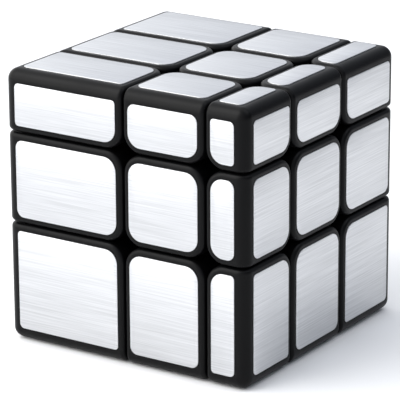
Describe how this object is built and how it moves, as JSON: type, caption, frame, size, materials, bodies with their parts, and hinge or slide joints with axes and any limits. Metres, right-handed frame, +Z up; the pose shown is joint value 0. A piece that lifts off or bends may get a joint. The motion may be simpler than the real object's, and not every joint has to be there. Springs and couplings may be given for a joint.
{
  "type": "twisty puzzle cube",
  "caption": "Twisty puzzle cube with layers of unequal thickness, black plastic cubies and brushed silver foil stickers, turning on a sprung internal core.",
  "frame": {"origin": "on the surface that the cube stands on, under the middle of its footprint", "axes": "+X to the right, +Y to the back, +Z up, with the front face towards -Y"},
  "size_m": [0.057, 0.057, 0.057],
  "materials": {
    "black_plastic": "satin moulded ABS",
    "silver_foil": "brushed foil",
    "core_plastic": "moulded",
    "zinc_plated_steel": "zinc plated"
  },
  "bodies": {
    "core": {"core": "core_plastic", "core_screws": "zinc_plated_steel", "spring_washers": "zinc_plated_steel", "compression_springs": "zinc_plated_steel"},
    "centre_top": {"centre_cubie_top": "black_plastic", "stickers_top": "silver_foil"},
    "centre_bottom": {"centre_cubie_bottom": "black_plastic", "stickers_bottom": "silver_foil"},
    "centre_front": {"centre_cubie_front": "black_plastic", "stickers_front": "silver_foil"},
    "centre_back": {"centre_cubie_back": "black_plastic", "stickers_back": "silver_foil"},
    "centre_right": {"centre_cubie_right": "black_plastic", "stickers_right": "silver_foil"},
    "centre_left": {"centre_cubie_left": "black_plastic", "stickers_left": "silver_foil"},
    "edge_top_front": {"edge_cubie_top_front": "black_plastic", "stickers_top_front": "silver_foil"},
    "edge_top_back": {"edge_cubie_top_back": "black_plastic", "stickers_top_back": "silver_foil"},
    "edge_top_right": {"edge_cubie_top_right": "black_plastic", "stickers_top_right": "silver_foil"},
    "edge_top_left": {"edge_cubie_top_left": "black_plastic", "stickers_top_left": "silver_foil"},
    "edge_bottom_front": {"edge_cubie_bottom_front": "black_plastic", "stickers_bottom_front": "silver_foil"},
    "edge_bottom_back": {"edge_cubie_bottom_back": "black_plastic", "stickers_bottom_back": "silver_foil"},
    "edge_bottom_right": {"edge_cubie_bottom_right": "black_plastic", "stickers_bottom_right": "silver_foil"},
    "edge_bottom_left": {"edge_cubie_bottom_left": "black_plastic", "stickers_bottom_left": "silver_foil"},
    "edge_front_right": {"edge_cubie_front_right": "black_plastic", "stickers_front_right": "silver_foil"},
    "edge_front_left": {"edge_cubie_front_left": "black_plastic", "stickers_front_left": "silver_foil"},
    "edge_back_right": {"edge_cubie_back_right": "black_plastic", "stickers_back_right": "silver_foil"},
    "edge_back_left": {"edge_cubie_back_left": "black_plastic", "stickers_back_left": "silver_foil"},
    "corner_top_front_right": {"corner_cubie_top_front_right": "black_plastic", "stickers_top_front_right": "silver_foil"},
    "corner_top_front_left": {"corner_cubie_top_front_left": "black_plastic", "stickers_top_front_left": "silver_foil"},
    "corner_top_back_right": {"corner_cubie_top_back_right": "black_plastic", "stickers_top_back_right": "silver_foil"},
    "corner_top_back_left": {"corner_cubie_top_back_left": "black_plastic", "stickers_top_back_left": "silver_foil"},
    "corner_bottom_front_right": {"corner_cubie_bottom_front_right": "black_plastic", "stickers_bottom_front_right": "silver_foil"},
    "corner_bottom_front_left": {"corner_cubie_bottom_front_left": "black_plastic", "stickers_bottom_front_left": "silver_foil"},
    "corner_bottom_back_right": {"corner_cubie_bottom_back_right": "black_plastic", "stickers_bottom_back_right": "silver_foil"},
    "corner_bottom_back_left": {"corner_cubie_bottom_back_left": "black_plastic", "stickers_bottom_back_left": "silver_foil"}
  },
  "joints": [
    {"name": "turn_top", "type": "hinge", "parent": "core", "child": "centre_top", "pos_m": [0.0094, -0.002, 0.0345], "axis": [0, 0, 1], "continuous": true},
    {"name": "turn_bottom", "type": "hinge", "parent": "core", "child": "centre_bottom", "pos_m": [0.0094, -0.002, 0.0345], "axis": [0, 0, 1], "continuous": true},
    {"name": "turn_front", "type": "hinge", "parent": "core", "child": "centre_front", "pos_m": [0.0094, -0.002, 0.0345], "axis": [0, 1, 0], "continuous": true},
    {"name": "turn_back", "type": "hinge", "parent": "core", "child": "centre_back", "pos_m": [0.0094, -0.002, 0.0345], "axis": [0, 1, 0], "continuous": true},
    {"name": "turn_right", "type": "hinge", "parent": "core", "child": "centre_right", "pos_m": [0.0094, -0.002, 0.0345], "axis": [1, 0, 0], "continuous": true},
    {"name": "turn_left", "type": "hinge", "parent": "core", "child": "centre_left", "pos_m": [0.0094, -0.002, 0.0345], "axis": [1, 0, 0], "continuous": true},
    {"name": "edge_top_front_with_top", "type": "hinge", "parent": "centre_front", "child": "edge_top_front", "pos_m": [0.0094, -0.002, 0.0345], "axis": [0, 0, 1], "continuous": true},
    {"name": "edge_top_back_with_top", "type": "hinge", "parent": "centre_back", "child": "edge_top_back", "pos_m": [0.0094, -0.002, 0.0345], "axis": [0, 0, 1], "continuous": true},
    {"name": "edge_top_right_with_right", "type": "hinge", "parent": "centre_top", "child": "edge_top_right", "pos_m": [0.0094, -0.002, 0.0345], "axis": [1, 0, 0], "continuous": true},
    {"name": "edge_top_left_with_left", "type": "hinge", "parent": "centre_top", "child": "edge_top_left", "pos_m": [0.0094, -0.002, 0.0345], "axis": [1, 0, 0], "continuous": true},
    {"name": "edge_bottom_front_with_bottom", "type": "hinge", "parent": "centre_front", "child": "edge_bottom_front", "pos_m": [0.0094, -0.002, 0.0345], "axis": [0, 0, 1], "continuous": true},
    {"name": "edge_bottom_back_with_bottom", "type": "hinge", "parent": "centre_back", "child": "edge_bottom_back", "pos_m": [0.0094, -0.002, 0.0345], "axis": [0, 0, 1], "continuous": true},
    {"name": "edge_bottom_right_with_right", "type": "hinge", "parent": "centre_bottom", "child": "edge_bottom_right", "pos_m": [0.0094, -0.002, 0.0345], "axis": [1, 0, 0], "continuous": true},
    {"name": "edge_bottom_left_with_left", "type": "hinge", "parent": "centre_bottom", "child": "edge_bottom_left", "pos_m": [0.0094, -0.002, 0.0345], "axis": [1, 0, 0], "continuous": true},
    {"name": "edge_front_right_with_front", "type": "hinge", "parent": "centre_right", "child": "edge_front_right", "pos_m": [0.0094, -0.002, 0.0345], "axis": [0, 1, 0], "continuous": true},
    {"name": "edge_front_left_with_front", "type": "hinge", "parent": "centre_left", "child": "edge_front_left", "pos_m": [0.0094, -0.002, 0.0345], "axis": [0, 1, 0], "continuous": true},
    {"name": "edge_back_right_with_back", "type": "hinge", "parent": "centre_right", "child": "edge_back_right", "pos_m": [0.0094, -0.002, 0.0345], "axis": [0, 1, 0], "continuous": true},
    {"name": "edge_back_left_with_back", "type": "hinge", "parent": "centre_left", "child": "edge_back_left", "pos_m": [0.0094, -0.002, 0.0345], "axis": [0, 1, 0], "continuous": true},
    {"name": "corner_top_front_right_with_top", "type": "hinge", "parent": "edge_front_right", "child": "corner_top_front_right", "pos_m": [0.0094, -0.002, 0.0345], "axis": [0, 0, 1], "continuous": true},
    {"name": "corner_top_front_left_with_top", "type": "hinge", "parent": "edge_front_left", "child": "corner_top_front_left", "pos_m": [0.0094, -0.002, 0.0345], "axis": [0, 0, 1], "continuous": true},
    {"name": "corner_top_back_right_with_top", "type": "hinge", "parent": "edge_back_right", "child": "corner_top_back_right", "pos_m": [0.0094, -0.002, 0.0345], "axis": [0, 0, 1], "continuous": true},
    {"name": "corner_top_back_left_with_top", "type": "hinge", "parent": "edge_back_left", "child": "corner_top_back_left", "pos_m": [0.0094, -0.002, 0.0345], "axis": [0, 0, 1], "continuous": true},
    {"name": "corner_bottom_front_right_with_bottom", "type": "hinge", "parent": "edge_front_right", "child": "corner_bottom_front_right", "pos_m": [0.0094, -0.002, 0.0345], "axis": [0, 0, 1], "continuous": true},
    {"name": "corner_bottom_front_left_with_bottom", "type": "hinge", "parent": "edge_front_left", "child": "corner_bottom_front_left", "pos_m": [0.0094, -0.002, 0.0345], "axis": [0, 0, 1], "continuous": true},
    {"name": "corner_bottom_back_right_with_bottom", "type": "hinge", "parent": "edge_back_right", "child": "corner_bottom_back_right", "pos_m": [0.0094, -0.002, 0.0345], "axis": [0, 0, 1], "continuous": true},
    {"name": "corner_bottom_back_left_with_bottom", "type": "hinge", "parent": "edge_back_left", "child": "corner_bottom_back_left", "pos_m": [0.0094, -0.002, 0.0345], "axis": [0, 0, 1], "continuous": true}
  ],
  "couplings": [
    {"joint": "edge_top_front_with_top", "follows": "turn_top", "ratio": 1},
    {"joint": "edge_top_back_with_top", "follows": "turn_top", "ratio": 1},
    {"joint": "edge_top_right_with_right", "follows": "turn_right", "ratio": 1},
    {"joint": "edge_top_left_with_left", "follows": "turn_left", "ratio": 1},
    {"joint": "edge_bottom_front_with_bottom", "follows": "turn_bottom", "ratio": 1},
    {"joint": "edge_bottom_back_with_bottom", "follows": "turn_bottom", "ratio": 1},
    {"joint": "edge_bottom_right_with_right", "follows": "turn_right", "ratio": 1},
    {"joint": "edge_bottom_left_with_left", "follows": "turn_left", "ratio": 1},
    {"joint": "edge_front_right_with_front", "follows": "turn_front", "ratio": 1},
    {"joint": "edge_front_left_with_front", "follows": "turn_front", "ratio": 1},
    {"joint": "edge_back_right_with_back", "follows": "turn_back", "ratio": 1},
    {"joint": "edge_back_left_with_back", "follows": "turn_back", "ratio": 1},
    {"joint": "corner_top_front_right_with_top", "follows": "turn_top", "ratio": 1},
    {"joint": "corner_top_front_left_with_top", "follows": "turn_top", "ratio": 1},
    {"joint": "corner_top_back_right_with_top", "follows": "turn_top", "ratio": 1},
    {"joint": "corner_top_back_left_with_top", "follows": "turn_top", "ratio": 1},
    {"joint": "corner_bottom_front_right_with_bottom", "follows": "turn_bottom", "ratio": 1},
    {"joint": "corner_bottom_front_left_with_bottom", "follows": "turn_bottom", "ratio": 1},
    {"joint": "corner_bottom_back_right_with_bottom", "follows": "turn_bottom", "ratio": 1},
    {"joint": "corner_bottom_back_left_with_bottom", "follows": "turn_bottom", "ratio": 1}
  ]
}
